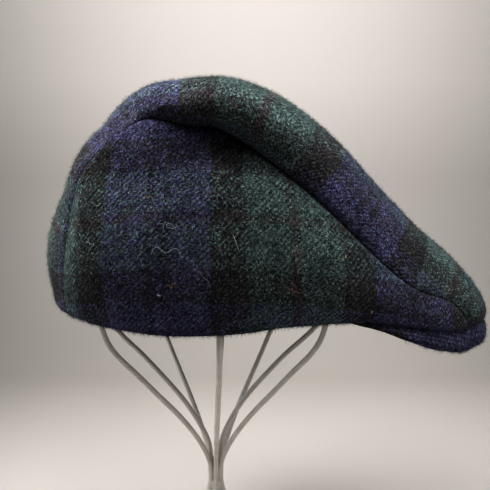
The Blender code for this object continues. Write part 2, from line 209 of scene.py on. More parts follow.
# The section where the crown's edge meets the corner of the peak
CORNER = SECTIONS[11].along

# Dents in the cloth, as in the solids
Fold = namedtuple("Fold", "panel from_along from_share to_along to_share reach depth")
FOLDS = [
    Fold("side", 0.45, 0.90, 0.33, 0.74, 0.08, 0.022),
    Fold("top", 0.33, -0.85, 0.27, -0.20, 0.09, 0.016),
    Fold("top", 0.29, -0.90, 0.41, -0.55, 0.08, 0.026),
    Fold("top", 0.36, -0.86, 0.49, -0.72, 0.06, -0.022),
    Fold("top", 0.39, -0.95, 0.50, -0.95, 0.05, 0.018),
    Fold("top", 0.42, -0.62, 0.39, -0.10, 0.10, 0.007),
]

# The peak's section from the corner to the front, as in the solids
Lip = namedtuple("Lip", "along seat lip round wall")
LIPS = [
    Lip(0.00, 0.10, 0.10, 1.00, 0.35),
    Lip(0.15, 0.55, 0.70, 1.00, 0.80),
    Lip(0.30, 0.85, 0.90, 1.00, 1.00),
    Lip(0.50, 1.00, 1.00, 1.00, 1.00),
    Lip(0.75, 1.25, 0.95, 0.98, 1.00),
    Lip(1.00, 1.50, 0.92, 0.95, 1.00),
]

# The stand's wires and their bends, as in the solids
Bend = namedtuple("Bend", "part radius height")
BENDS = [
    Bend("leg", 1.00, 0.01),
    Bend("leg", 0.94, 0.06),
    Bend("leg", 0.78, 0.17),
    Bend("leg", 0.50, 0.36),
    Bend("leg", 0.26, 0.58),
    Bend("leg", 0.11, 0.80),
    Bend("waist", 0.00, 0.00),
    Bend("balloon", 0.023, 0.09),
    Bend("balloon", 0.087, 0.20),
    Bend("balloon", 0.195, 0.32),
    Bend("balloon", 0.341, 0.44),
    Bend("balloon", 0.530, 0.57),
    Bend("balloon", 0.726, 0.70),
    Bend("balloon", 0.925, 0.84),
    Bend("dome", 1.00, 0.00),
    Bend("dome", 0.99, 0.20),
    Bend("dome", 0.85, 0.52),
    Bend("dome", 0.52, 0.84),
]
Wire = namedtuple("Wire", "turn wide late")
WIRES = [
    Wire(5.5, 1.00, 0.83),
    Wire(61.5, 1.04, 0.90),
    Wire(96.0, 1.05, 1.32),
    Wire(137.0, 1.00, 0.82),
    Wire(176.5, 1.00, 1.00),
    Wire(223.5, 1.00, 0.82),
    Wire(269.0, 0.98, 1.19),
    Wire(302.5, 1.01, 0.90),
]

# Colours, linear
YARNS = {
    "blue": (0.0640, 0.0620, 0.1180),
    "ink": (0.0440, 0.0410, 0.0720),
    "black": (0.0380, 0.0345, 0.0365),
    "green": (0.0700, 0.0980, 0.0930),
    "maroon": (0.0640, 0.0560, 0.0560),
}
HAIR_TONES = {
    "pale": (0.46, 0.60, 0.62),
    "straw": (0.62, 0.44, 0.22),
    "red": (0.33, 0.070, 0.085),
}
COLOURS = {
    "pale_thread": (0.120, 0.190, 0.200),
    "red_fleck": (0.105, 0.026, 0.030),
    "cloth_sheen": (0.62, 0.70, 0.80),
    "dull_hair": (0.30, 0.28, 0.25),
    "wire": (0.740, 0.700, 0.655),
    "pale_wire": (0.830, 0.790, 0.745),
    "scuffed_wire": (0.46, 0.42, 0.38),
    "floor": (0.73, 0.69, 0.66),
    # Painted shade for the backdrop's bend between floor and wall
    "bend_painted_shade": (0.49, 0.465, 0.435),
    "room": (1.0, 0.985, 0.965),
}

# The tartan's stripes across the cloth
Stripe = namedtuple("Stripe", "yarn width")
SETT = [
    Stripe("blue", 0.0230),
    Stripe("ink", 0.0035),
    Stripe("blue", 0.0055),
    Stripe("ink", 0.0030),
    Stripe("blue", 0.0210),
    Stripe("black", 0.0180),
    Stripe("green", 0.0235),
    Stripe("maroon", 0.0050),
    Stripe("green", 0.0235),
    Stripe("black", 0.0180),
]
SETT_WIDTH = sum(stripe.width for stripe in SETT)

# How each panel is cut: where a sett starts along the panel and across it, and how light it is. The
# peak's low tone darkens its cloth as painted shade on the turned-down lip.
Cut = namedtuple("Cut", "start_u start_v tone")
CUTS = {
    "side": Cut(-0.0525, -0.0560, 0.98),
    "top": Cut(0.0000, -0.1140, 1.00),
    # Tone 0.70: painted shade on the peak's turned-down lip under the crown
    "peak": Cut(-0.0300, 0.0200, 0.70),
}

# How the cloth's threads run on the panels. Along the side panel, the height of one weft thread
# above the rim. Along the top panel, the place in the flat cloth, and how far out from the middle
# one lengthwise thread lies, which it does from an even share of the way out.
SideThread = namedtuple("SideThread", "along rise")
SIDE_THREADS = [
    SideThread(-0.090, 0.008),
    SideThread(-0.024, 0.019),
    SideThread(0.012, 0.018),
    SideThread(0.060, 0.012),
    SideThread(0.123, 0.006),
    SideThread(0.170, 0.000),
]
TopThread = namedtuple("TopThread", "along flat out")
TOP_THREADS = [
    TopThread(0.000, -0.092, 0.058),
    TopThread(0.112, 0.000, 0.060),
    TopThread(0.160, 0.039, 0.075),
    TopThread(0.205, 0.076, 0.093),
    TopThread(0.245, 0.109, 0.092),
    TopThread(0.288, 0.144, 0.071),
    TopThread(0.345, 0.200, 0.060),
    TopThread(0.400, 0.250, 0.050),
    TopThread(0.450, 0.292, 0.044),
]
even_share = 0.75
least_reach = 0.001

# Noise in the finishes, with its scale per metre
Grain = namedtuple("Grain", "scale detail roughness")
GRAINS = {
    "drift": Grain(38.0, 2.0, 0.5),
    "warp_wander": Grain(640.0, 2.0, 0.5),
    "weft_wander": Grain(710.0, 2.0, 0.5),
    "mottle": Grain(70.0, 3.0, 0.5),
    "fleck": Grain(1450.0, 2.0, 0.6),
    "red_fleck": Grain(760.0, 1.0, 0.5),
    "hair": Grain(400.0, 1.0, 0.5),
    "wire_mottle": Grain(140.0, 3.0, 0.5),
    "wire_scuff": Grain(700.0, 2.0, 0.5),
    "wire_gloss": Grain(380.0, 2.0, 0.5),
    "wire_bump": Grain(900.0, 2.0, 0.5),
}

# The range of a value that counts in a finish, and what its two ends turn into
Span = namedtuple("Span", "low high to_low to_high")
SPANS = {
    "weft": Span(weft_above - weft_blur, weft_above + weft_blur, 0.0, 1.0),
    "mottle": Span(0.30, 0.70, 0.70, 1.30),
    "fleck": Span(0.26, 0.74, 0.0, 1.0),
    "pale_thread": Span(0.94, 0.99, 0.0, 0.8),
    "red_fleck": Span(0.70, 0.75, 0.0, 0.7),
    "hair": Span(0.35, 0.65, 0.0, 0.5),
    "wire_mottle": Span(0.35, 0.65, 0.0, 1.0),
    "wire_scuff": Span(0.62, 0.72, 0.0, 0.35),
    "wire_gloss": Span(0.30, 0.70, 0.38, 0.58),
    # The floor and wall spans fade the backdrop's painted shade in its bend out onto the floor and up
    # the wall
    "floor": Span(0.34, 0.10, 0.0, 1.0),
    "wall": Span(0.02, 0.42, 0.0, 1.0),
}

# The cap's pieces: how each is cut, which borders of its grid are hemmed or sewn, how many loose
# fibres stand out of it and along which borders they lie denser, with the seeds of what is uneven
Panel = namedtuple("Panel", "node cut hems ripple_seed fibres fibre_seed rims")
SIDES = ("first_column", "last_column")
ENDS = ("first_row", "last_row")
RIM = ("first_column",)
PANELS = [
    Panel("top_panel", "top", ENDS + SIDES, 3, 30000, 11, ()),
    Panel("side_panel_right", "side", SIDES, 1, 20000, 12, RIM),
    Panel("side_panel_left", "side", SIDES, 2, 20000, 13, RIM),
    Panel("peak", "peak", SIDES, 4, 9000, 14, RIM),
]

# Long loose hairs on the near side: where each starts, how it leans, curls and waves, and its size
Hair = namedtuple("Hair", "tone x z lean length curl wave lift width")
HAIRS = [
    Hair("pale", 0.0150, 0.2695, -66.0, 0.0086, -6.0, 0.0, 0.0006, 0.00026),
    Hair("pale", -0.0262, 0.2605, 20.0, 0.0225, -50.0, 52.0, 0.0005, 0.00020),
    Hair("pale", -0.0140, 0.2725, 40.0, 0.0130, 420.0, 30.0, 0.0004, 0.00019),
    Hair("pale", -0.0200, 0.2725, 30.0, 0.0060, 200.0, 30.0, 0.0004, 0.00016),
    Hair("straw", -0.0190, 0.2445, -60.0, 0.0080, 150.0, 70.0, 0.0004, 0.00022),
    Hair("pale", -0.0235, 0.2400, -75.0, 0.0022, 90.0, 20.0, 0.0004, 0.00060),
    Hair("pale", -0.0050, 0.2530, -30.0, 0.0135, -35.0, 18.0, 0.0004, 0.00013),
    Hair("pale", -0.0590, 0.2610, -20.0, 0.0090, 250.0, 60.0, 0.0005, 0.00016),
    Hair("pale", 0.0300, 0.2555, 62.0, 0.0080, 80.0, 30.0, 0.0004, 0.00013),
    Hair("straw", -0.0300, 0.2870, 50.0, 0.0065, -90.0, 40.0, 0.0004, 0.00014),
    Hair("pale", 0.0480, 0.2500, 100.0, 0.0070, -120.0, 30.0, 0.0004, 0.00013),
    Hair("straw", 0.0060, 0.3050, 20.0, 0.0050, 60.0, 40.0, 0.0004, 0.00016),
    Hair("straw", 0.0890, 0.2250, 80.0, 0.0016, 20.0, 0.0, 0.0003, 0.00085),
    Hair("straw", 0.0735, 0.2560, 80.0, 0.0012, 20.0, 0.0, 0.0003, 0.00055),
    Hair("red", 0.0430, 0.2420, -35.0, 0.0070, 30.0, 50.0, 0.0003, 0.00030),
    Hair("red", 0.0440, 0.2450, -15.0, 0.0060, -60.0, 60.0, 0.0003, 0.00026),
    Hair("red", 0.0400, 0.2455, 60.0, 0.0040, 80.0, 60.0, 0.0003, 0.00028),
    Hair("red", 0.0090, 0.2600, 70.0, 0.0050, 60.0, 40.0, 0.0003, 0.00024),
    Hair("red", 0.0300, 0.2960, 30.0, 0.0045, 90.0, 40.0, 0.0003, 0.00022),
]

# Lights: where each stands and what it is turned to, both from the stand's axis
Light = namedtuple("Light", "name place towards size power spread")
LIGHTS = [
    Light("front_strip", (0.03, -0.22, 0.56), (0.03, -0.10, 0.27), 0.16, 0.62, 180.0),
    Light("left_strip", (-0.26, -0.02, 0.58), (-0.08, -0.02, 0.31), 0.16, 0.60, 90.0),
    Light("right_strip", (0.20, 0.0, 0.58), (0.08, 0.0, 0.27), 0.20, 0.38, 120.0),
    Light("left_panel", (-0.34, -0.02, 0.34), (0.0, 0.0, 0.30), 0.34, 0.95, 180.0),
    Light("right_panel", (0.40, -0.10, 0.36), (0.0, 0.0, 0.30), 0.34, 0.8, 180.0),
    Light("wall_light", (0.02, 0.05, 0.95), (0.05, 0.58, 0.46), 0.80, 3.9, 115.0),
]
room_light = 0.06


def unit(vectors):
    return vectors / np.maximum(np.linalg.norm(vectors, axis=-1, keepdims=True), least_length)


def mirrored(points):
    return points * (1, -1, 1)


def natural_spline(knots, values, at):
    """Read the natural cubic curve through values, which lie at knots, at other places."""
    knots = np.asarray(knots, float)
    values = np.asarray(values, float)
    at = np.asarray(at, float)
    count = len(knots)
    steps = np.diff(knots)
    slopes = np.diff(values) / steps
    system = np.eye(count)
    right = np.zeros(count)
    for i in range(1, count - 1):
        system[i, i - 1:i + 2] = (steps[i - 1], 2 * (steps[i - 1] + steps[i]), steps[i])
        right[i] = 6 * (slopes[i] - slopes[i - 1])
    bends = np.linalg.solve(system, right)
    k = np.clip(np.searchsorted(knots, at, side="right") - 1, 0, count - 2)
    before = at - knots[k]
    after = knots[k + 1] - at
    cubic = (bends[k] * after ** 3 + bends[k + 1] * before ** 3) / (6 * steps[k])
    start = (values[k] / steps[k] - bends[k] * steps[k] / 6) * after
    end = (values[k + 1] / steps[k] - bends[k + 1] * steps[k] / 6) * before
    return cubic + start + end


def table_curve(table, name, at):
    """Read one column of a table that has an along column as a smooth curve."""
    return natural_spline([row.along for row in table], [getattr(row, name) for row in table], at)


def edge_points(at):
    """Lower edge of the crown on the near half."""
    x = table_curve(SECTIONS, "edge_x", at) * cap_length
    y = -table_curve(SECTIONS, "edge_y", at) * rim_width / 2
    z = rim_height + table_curve(SECTIONS, "edge_z", at) * edge_fall
    return np.stack([x, y, z], axis=-1)


def seam_points(at):
    x = table_curve(SECTIONS, "seam_x", at) * cap_length
    y = table_curve(SECTIONS, "seam_y", at) * seam_inset
    z = table_curve(SECTIONS, "seam_z", at) * crown_height
    return edge_points(at) + np.stack([x, y, z], axis=-1)


def centre_points(at):
    edge = edge_points(at)
    x = edge[:, 0] + table_curve(SECTIONS, "centre_x", at) * cap_length
    z = edge[:, 2] + table_curve(SECTIONS, "centre_z", at) * crown_height
    return np.stack([x, 0 * x, z], axis=-1)


def clustered(count, strength=0.85):
    """Shares from 0 to 1 that lie closer together towards both ends."""
    even = np.linspace(0, 1, count)
    return even - strength * np.sin(2 * math.pi * even) / (2 * math.pi)


def stations():
    back = tip_share + (CORNER - tip_share) * clustered(back_steps + 1)
    front = CORNER + (1 - tip_share - CORNER) * clustered(front_steps + 1)
    return np.concatenate([[0.0], back, front[1:], [1.0]])


def top_points(at, shares):
    """Top panel from the near seam, share -1, over the centre line to the far seam, share 1."""
    seam = seam_points(at)[:, None, :]
    centre = centre_points(at)[:, None, :]
    turn = np.radians(table_curve(SECTIONS, "curl", at))[:, None]
    angle = turn * np.abs(shares)[None, :]
    fall = ((1 - np.cos(angle)) / (1 - np.cos(turn))) ** crown_fullness
    points = centre + (seam * (1, 0, 1) - centre) * fall[..., None]
    half = seam[..., 1] / np.sin(turn) * np.sin(angle)
    points[..., 1] = -half * np.sign(shares)[None, :]
    return points


def side_points(at, shares):
    """Near side panel from the crown's edge, share 0, up to the seam, share 1."""
    edge = edge_points(at)
    seam = seam_points(at)
    run = np.gradient(edge, at, axis=0)
    out = unit(np.stack([run[:, 1], -run[:, 0], 0 * run[:, 0]], axis=-1))
    swell = table_curve(SECTIONS, "belly", at)[:, None] * side_belly * 4 * shares * (1 - shares)
    straight = edge[:, None, :] + (seam - edge)[:, None, :] * shares[None, :, None]
    return straight + out[:, None, :] * swell[..., None]


def grid_normals(points):
    along = np.gradient(points, axis=0)
    across = np.gradient(points, axis=1)
    return unit(np.cross(along, across))


def press_folds(panel, points, panel_points, still):
    """Press the folds of one panel into its grid, less where it is held still."""
    def place(along, share):
        # The station just behind it gives the side panel its direction
        return panel_points(np.array([along - small_step, along]), np.array([share]))[1, 0]

    inward = -grid_normals(points)
    for fold in FOLDS:
        if fold.panel != panel:
            continue
        start = place(fold.from_along, fold.from_share)
        line = place(fold.to_along, fold.to_share) - start
        part = np.clip((points - start) @ line / (line @ line), 0, 1)
        distance = np.linalg.norm(points - start - part[..., None] * line, axis=-1)
        press = np.exp(-(distance / (fold.reach * crown_height)) ** 2) * still
        points = points + inward * (press * fold.depth * crown_height)[..., None]
    return points


def mitre(first, second):
    middle = unit(first + second)
    lean = np.sum(middle * first, axis=-1, keepdims=True)
    return middle / np.clip(lean, least_lean, 1.0)


def peak_edge(at, shares):
    """The crown's edge over the near half of the peak, from the corner to the front centre."""
    side = edge_points(at[at > CORNER - tiny])
    front = top_points(at[-1:], shares[shares < tiny])[0]
    return np.concatenate([side, front[1:]])


def run_lengths(points, axis=0):
    """Length run along a line or along each line of a grid."""
    steps = np.linalg.norm(np.diff(points, axis=axis), axis=-1)
    start = np.zeros_like(np.take(steps, [0], axis=axis))
    return np.concatenate([start, np.cumsum(steps, axis=axis)], axis=axis)


def run_shares(points):
    runs = run_lengths(points)
    return runs / runs[-1]


def lip_column(name, places):
    return np.interp(places, [row.along for row in LIPS], [getattr(row, name) for row in LIPS])


def head_front(places):
    turn = np.radians(head_front_turn * (1 - places))
    x = head_front_x + head_front_depth * np.cos(turn)
    y = -head_front_width / 2 * np.sin(turn)
    return np.stack([x, y, np.full(len(places), rim_height + root_rise)], axis=-1)


def peak_top(edge):
    """Top face of the peak's near half, a row for each edge point, out to the end of the lip."""
    places = run_shares(edge)
    root = head_front(places)[:, None, :]
    edge = edge[:, None, :]
    out = unit((edge - root) * (1, 1, 0))
    up = np.array((0, 0, 1))
    slope = np.radians(lip_column("seat", places) * seat_turn)[:, None]
    more = np.radians(lip_column("lip", places) * lip_turn)[:, None]
    facing = out * np.sin(slope)[..., None] + up * np.cos(slope)[..., None]
    seat = edge - facing * seat_gap
    steps = np.linspace(0, 1, lip_steps + 1)[None, 1:]
    shoulder = np.linspace(0, 1, shoulder_steps + 1)[None]
    turned = np.concatenate([slope * shoulder, slope + more * steps], axis=1)
    radius = lip_column("round", places)[:, None, None] * lip_radius
    reach = radius * (np.sin(turned) - np.sin(slope))[..., None]
    fall = radius * (np.cos(slope) - np.cos(turned))[..., None]
    bend = seat + out * reach - up * fall
    run = np.linspace(0, 1, run_steps + 1)[None, :-1, None]
    return np.concatenate([root * (1 - run) + bend[:, :1] * run, bend], axis=1)


def seat_directions(edge):
    top = peak_top(edge)
    last = run_steps + shoulder_steps
    return unit(top[:, last - 1] - top[:, last])


def thickness_directions(at, shares, top, side):
    """Which way each point's wall goes in, shared along the seam and laid along the peak's seat."""
    top_in = -grid_normals(top)
    side_in = -grid_normals(side)
    shared = mitre(top_in[1:-1, 0], side_in[:, -1])
    side_in[:, -1] = shared
    top_in[1:-1, 0] = shared
    top_in[1:-1, -1] = mirrored(shared)
    side_in[:, 0] = unit(side_in[:, 0] * (1, 1, 0))
    top_in[0] = unit(top_in[0] * (1, 1, 0))
    seats = seat_directions(peak_edge(at, shares))
    on_peak = int(np.sum(at > CORNER - tiny))
    side_in[1 - on_peak:, 0] = seats[:on_peak - 1]
    front = seats[on_peak - 1:]
    top_in[-1] = np.concatenate([front, mirrored(front[-2::-1])])
    return top_in, side_in


def peak_outer(edge):
    near = peak_top(edge)[:, ::-1]
    return np.concatenate([near, mirrored(near[-2::-1])])


def evened(points, reach, fade=3):
    """Even out a grid from row to row, and less near its first and last rows."""
    run = run_lengths(points[:, 0])
    weights = np.exp(-((run[:, None] - run[None]) / reach) ** 2) * np.gradient(run)[None]
    weights /= weights.sum(axis=1, keepdims=True)
    even = np.einsum("ij,jkl->ikl", weights, points)
    share = np.clip(np.minimum(run, run[-1] - run) / (fade * reach), 0, 1)
    return points + (even - points) * share[:, None, None]


def surface_tree(points):
    rows, columns = points.shape[:2]
    faces = [
        (i * columns + j, (i + 1) * columns + j, (i + 1) * columns + j + 1, i * columns + j + 1)
        for i in range(rows - 1) for j in range(columns - 1)
    ]
    return BVHTree.FromPolygons([Vector(v) for v in points.reshape(-1, 3)], faces)


def rest_on_peak(inner, tree):
    for place in np.ndindex(inner.shape[:2]):
        point = Vector(inner[place])
        nearest, normal, _, _ = tree.find_nearest(point, rest_reach)
        if nearest is None:
            continue
        normal *= math.copysign(1.0, normal.z)
        height = (point - nearest).dot(normal)
        if height < rest_gap:
            inner[place] += np.array(normal) * (rest_gap - height)


def border_distance(points, borders):
    """How far each point of a grid lies from the nearest of the named borders."""
    rows = run_lengths(points, axis=0)
    columns = run_lengths(points, axis=1)
    reach = {
        "first_row": rows,
        "last_row": rows[-1:] - rows,
        "first_column": columns,
        "last_column": columns[:, -1:] - columns,
    }
    return np.min([reach[name] for name in borders], axis=0)


def ripples(points, seed):
    """Soft uneven waves of cloth, as a height for each point."""
    heights = np.zeros(points.shape[:2])
    offset = Vector([seed * shift for shift in ripple_shift])
    for place in np.ndindex(heights.shape):
        point = Vector(points[place])
        broad = noise.noise(point / ripple_size + offset)
        fine = noise.noise(point / fine_ripple_size + offset)
        heights[place] = broad * ripple_depth + fine * fine_ripple_depth
    return heights


def soften(outer, inner, borders, seed):
    """Round a wall's borders into hems, puff it beside them and make its outside uneven."""
    distance = border_distance(outer, borders)
    depth = np.clip(distance / hem_radius, 0, 1)
    full = np.sqrt(np.maximum(1 - (1 - depth) ** 2, hem_least))[..., None]
    middle = (outer + inner) / 2
    half = (outer - inner) / 2
    puff = seam_puff * np.exp(-((distance - puff_place) / puff_reach) ** 2)
    still = np.clip(distance / ripple_start, 0, 1)
    lift = (puff + ripples(outer, seed) * still) * depth
    return middle + half * full + unit(half) * lift[..., None], middle - half * full


def cap_grids():
    """Outer and inner grids of the top panel, of the near side panel and of the peak."""
    at = stations()
    shares = clustered(2 * top_rows + 1) * 2 - 1
    shares[top_rows] = 0.0
    side_shares = clustered(side_rows + 1)
    top = top_points(at, shares)
    top = press_folds("top", top, top_points, (1 - shares ** fold_fade)[None, :])
    top[-1] = top_points(at[-1:], shares)[0]
    side = side_points(at, side_shares)[1:-1]
    side_still = 1 - (2 * side_shares - 1) ** fold_fade
    side = press_folds("side", side, side_points, side_still[None, :])
    top_in, side_in = thickness_directions(at, shares, top, side)
    top_inner = top + top_in * cloth_wall
    side_inner = side + side_in * cloth_wall
    edge = peak_edge(at, shares)
    peak = peak_outer(edge)
    peak_tree = surface_tree(peak)
    rest_on_peak(side_inner[:, 1:], peak_tree)
    rest_on_peak(top_inner[:-1], peak_tree)
    peak = evened(peak, lip_evening)
    wall = lip_column("wall", run_shares(edge)) * peak_wall
    walls = np.concatenate([wall, wall[-2::-1]])[:, None, None]
    peak_inner = peak - grid_normals(peak) * walls
    return {"top": (top, top_inner), "side": (side, side_inner), "peak": (peak, peak_inner)}


def across_lengths(points, run):
    """Length run across a grid, line by line, leaving out what runs along with each line's own run."""
    steps = np.diff(points, axis=1)
    steps -= run[:, None] * np.sum(steps * run[:, None], axis=-1, keepdims=True)
    lengths = np.cumsum(np.linalg.norm(steps, axis=-1), axis=1)
    return np.concatenate([np.zeros((len(points), 1)), lengths], axis=1)


def top_cloth_places(points):
    """Places in the flat cloth of the top panel: along its length and across from its middle."""
    middle = points.shape[1] // 2
    centre = points[:, middle]
    run = unit(np.gradient(centre, axis=0))
    ahead = np.sum((points - centre[:, None]) * run[:, None], axis=-1)
    along = run_lengths(centre)[:, None] + ahead
    across = across_lengths(points, run)
    across -= across[:, middle][:, None]
    flat = table_curve(TOP_THREADS, "flat", along)
    drift = table_curve(TOP_THREADS, "out", along) - TOP_THREADS[0].out
    reach = np.maximum(np.abs(across).max(axis=1, keepdims=True) * even_share, least_reach)
    return np.stack([flat, across - drift * np.clip(across / reach, -1, 1)], axis=-1)


def side_cloth_places(points):
    """Places in the flat cloth of the side panel: along the rim from the axis, and up from it."""
    edge = points[:, 0]
    flat = edge * (1, 1, 0)
    run = unit(np.gradient(flat, axis=0))
    lengths = run_lengths(flat)
    lengths -= np.interp(0.0, edge[:, 0], lengths)
    along = lengths[:, None] + np.sum((points - edge[:, None]) * run[:, None], axis=-1)
    up = across_lengths(points, run) - table_curve(SIDE_THREADS, "rise", along)
    return np.stack([along, up], axis=-1)


def peak_cloth_places(points):
    """Places in the flat cloth of the peak: across the object and outwards from its root."""
    out = run_lengths(points[:, ::-1], axis=1)[:, ::-1]
    return np.stack([points[..., 1] + peak_skew * points[..., 0], out], axis=-1)


def add_mesh(name, vertices, faces, material, places=None):
    """Make a smooth object on the stand's axis, with places in flat cloth where it is cloth."""
    mesh = bpy.data.meshes.new(name)
    mesh.from_pydata([tuple(v) for v in vertices], [], faces)
    mesh.materials.append(material)
    mesh.shade_smooth()
    if places is not None:
        layer = mesh.uv_layers.new(name="cloth")
        corners = np.empty(len(mesh.loops), int)
        mesh.loops.foreach_get("vertex_index", corners)
        layer.data.foreach_set("uv", places[corners].astype(np.float32).ravel())
    made = bpy.data.objects.new(name, mesh)
    bpy.context.collection.objects.link(made)
    made.location.x = axis_x
    return made


def shell(name, outer, inner, places, material):
    """Closed wall between two grids of points, the outer one facing out."""
    rows, columns = outer.shape[:2]
    vertices = np.concatenate([outer.reshape(-1, 3), inner.reshape(-1, 3)])
    numbers = np.arange(2 * rows * columns).reshape(2, rows, columns)

    def quads(layer):
        ring = [layer[:-1, :-1], layer[1:, :-1], layer[1:, 1:], layer[:-1, 1:]]
        return np.stack(ring, axis=-1).reshape(-1, 4)

    def border(layer):
        return np.concatenate([layer[:, 0], layer[-1, 1:], layer[-2::-1, -1], layer[0, -2:0:-1]])

    outside = border(numbers[0])
    inside = border(numbers[1])
    edge = np.stack([inside, np.roll(inside, -1), np.roll(outside, -1), outside], axis=-1)
    faces = np.concatenate([quads(numbers[0]), quads(numbers[1])[:, ::-1], edge]).tolist()
    both = np.concatenate([places.reshape(-1, 2), places.reshape(-1, 2)])
    return add_mesh(name, vertices, faces, material, both)


class Finish:
    """A new material, with short hands for its nodes. A value is a number or a node's output."""

    def __init__(self, name):
        self.material = bpy.data.materials.new(name)
        self.material.use_nodes = True
        self.tree = self.material.node_tree
        self.shader = self.tree.nodes["Principled BSDF"]
        self.body = self.node("TexCoord").outputs["Object"]

    def node(self, kind, **settings):
        made = self.tree.nodes.new("ShaderNode" + kind)
        for key, value in settings.items():
            setattr(made, key, value)
        return made

    def feed(self, socket, value):
        if hasattr(value, "is_output"):
            self.tree.links.new(value, socket)
        else:
            socket.default_value = value

    def math(self, operation, first, *others):
        """Work one operation on a value, or on several from the first to the last."""
        for other in others or (0.0,):
            made = self.node("Math", operation=operation)
            self.feed(made.inputs[0], first)
            self.feed(made.inputs[1], other)
            first = made.outputs[0]
        return first

    def split(self, vector):
        made = self.node("SeparateXYZ")
        self.feed(made.inputs[0], vector)
        return made.outputs

    def blend(self, share, first, second):
        made = self.node("Mix", data_type="RGBA", clamp_factor=True)
        self.feed(made.inputs[0], share)
        self.feed(made.inputs[6], first)
        self.feed(made.inputs[7], second)
        return made.outputs[2]

    def grain(self, name):
        made = self.node("TexNoise")
        self.feed(made.inputs["Vector"], self.body)
        made.inputs["Scale"].default_value = GRAINS[name].scale
        made.inputs["Detail"].default_value = GRAINS[name].detail
        made.inputs["Roughness"].default_value = GRAINS[name].roughness
        return made.outputs["Fac"]

    def spread(self, value, name):
        made = self.node("MapRange")
        self.feed(made.inputs["Value"], value)
        made.inputs["From Min"].default_value = SPANS[name].low
        made.inputs["From Max"].default_value = SPANS[name].high
        made.inputs["To Min"].default_value = SPANS[name].to_low
        made.inputs["To Max"].default_value = SPANS[name].to_high
        return made.outputs[0]

    def wander(self, name, reach):
        return self.math("MULTIPLY", self.math("SUBTRACT", self.grain(name), 0.5), reach)

    def bump(self, height, strength, distance):
        made = self.node("Bump")
        made.inputs["Strength"].default_value = strength
        made.inputs["Distance"].default_value = distance
        self.feed(made.inputs["Height"], height)
        self.feed(self.shader.inputs["Normal"], made.outputs[0])


def rgba(colour):
    return (*colour, 1.0)


def sett_ramp(finish, place, start):
    """Colour of the stripe at a place in the flat cloth, for setts that begin at start."""
    ramp = finish.node("ValToRGB")
    ramp.color_ramp.interpolation = "CONSTANT"
    share = finish.math("DIVIDE", finish.math("SUBTRACT", place, start), SETT_WIDTH)
    finish.feed(ramp.inputs[0], finish.math("FRACT", share))
    elements = ramp.color_ramp.elements
    elements.remove(elements[1])
    edge = 0.0
    for number, stripe in enumerate(SETT):
        element = elements[0] if number == 0 else elements.new(edge / SETT_WIDTH)
        element.position = edge / SETT_WIDTH
        element.color = rgba(YARNS[stripe.yarn])
        edge += stripe.width
    return ramp.outputs["Color"]


def thread_dice(finish, end, pick):
    """Three chance values for each crossing of a warp end and a weft pick."""
    cell = finish.node("CombineXYZ")
    finish.feed(cell.inputs[0], end)
    finish.feed(cell.inputs[1], pick)
    chance = finish.node("TexWhiteNoise", noise_dimensions="2D")
    finish.feed(chance.inputs["Vector"], cell.outputs[0])
    dice = finish.node("SeparateColor")
    finish.feed(dice.inputs[0], chance.outputs["Color"])
    return dice.outputs


def tartan(name, cut, fuzz=False):
    """Heathered two-by-two twill, woven in a tartan. The cloth's own places are its coordinates."""
    finish = Finish(name)
    place = finish.split(finish.node("UVMap", uv_map="cloth").outputs[0])
    drift = finish.wander("drift", thread_drift)
    u = finish.math("ADD", place[0], finish.wander("warp_wander", thread_wander), drift)
    v = finish.math("ADD", place[1], finish.wander("weft_wander", thread_wander), drift)
    warp = sett_ramp(finish, u, cut.start_u)
    weft = sett_ramp(finish, v, cut.start_v)

    end = finish.math("FLOOR", finish.math("DIVIDE", u, thread_pitch))
    pick = finish.math("FLOOR", finish.math("DIVIDE", v, thread_pitch))
    dice = thread_dice(finish, end, pick)
    step = finish.math("FLOORED_MODULO", finish.math("SUBTRACT", end, pick), twill_repeat)
    raised = finish.math("LESS_THAN", step, twill_over)
    pull = finish.math("ADD", finish.math("MULTIPLY", raised, raised_pull), dice[0])
    woven = finish.blend(finish.spread(pull, "weft"), warp, weft)

    fleck = finish.grain("fleck")
    level = finish.math("POWER", finish.spread(fleck, "fleck"), fleck_sharpness)
    thread = finish.math("POWER", dice[1], thread_sharpness)
    flecks = finish.math("MULTIPLY", level, fleck_light)
    bright = finish.math("ADD", flecks, finish.math("MULTIPLY", thread, thread_light))
    # Painted light and shade: raised threads lighter, sunken threads darker
    twill = finish.math("ADD", finish.math("MULTIPLY", raised, raised_painted_light), sunken_painted_shade)
    mottle = finish.spread(finish.grain("mottle"), "mottle")
    shaded = finish.node("VectorMath", operation="SCALE")
    finish.feed(shaded.inputs[0], woven)
    # The cut's tone scales the cloth's brightness; for the peak it is painted shade on the lip under the
    # crown
    finish.feed(shaded.inputs["Scale"], finish.math("MULTIPLY", bright, twill, mottle, cut.tone))

    pale = finish.spread(dice[2], "pale_thread")
    colour = finish.blend(pale, shaded.outputs[0], rgba(COLOURS["pale_thread"]))
    red = finish.spread(finish.grain("red_fleck"), "red_fleck")
    colour = finish.blend(red, colour, rgba(COLOURS["red_fleck"]))

    shader = finish.shader
    finish.feed(shader.inputs["Base Color"], colour)
    shader.inputs["Roughness"].default_value = 0.95
    shader.inputs["Specular IOR Level"].default_value = 0.08
    shader.inputs["Sheen Weight"].default_value = 0.05
    shader.inputs["Sheen Roughness"].default_value = 0.45
    shader.inputs["Sheen Tint"].default_value = rgba(COLOURS["cloth_sheen"])
    if not fuzz:
        threads = finish.math("MULTIPLY", raised, raised_height)
        height = finish.math("ADD", threads, finish.math("MULTIPLY", fleck, fleck_height))
        finish.bump(height, strength=0.8, distance=0.0006)
    return finish.material


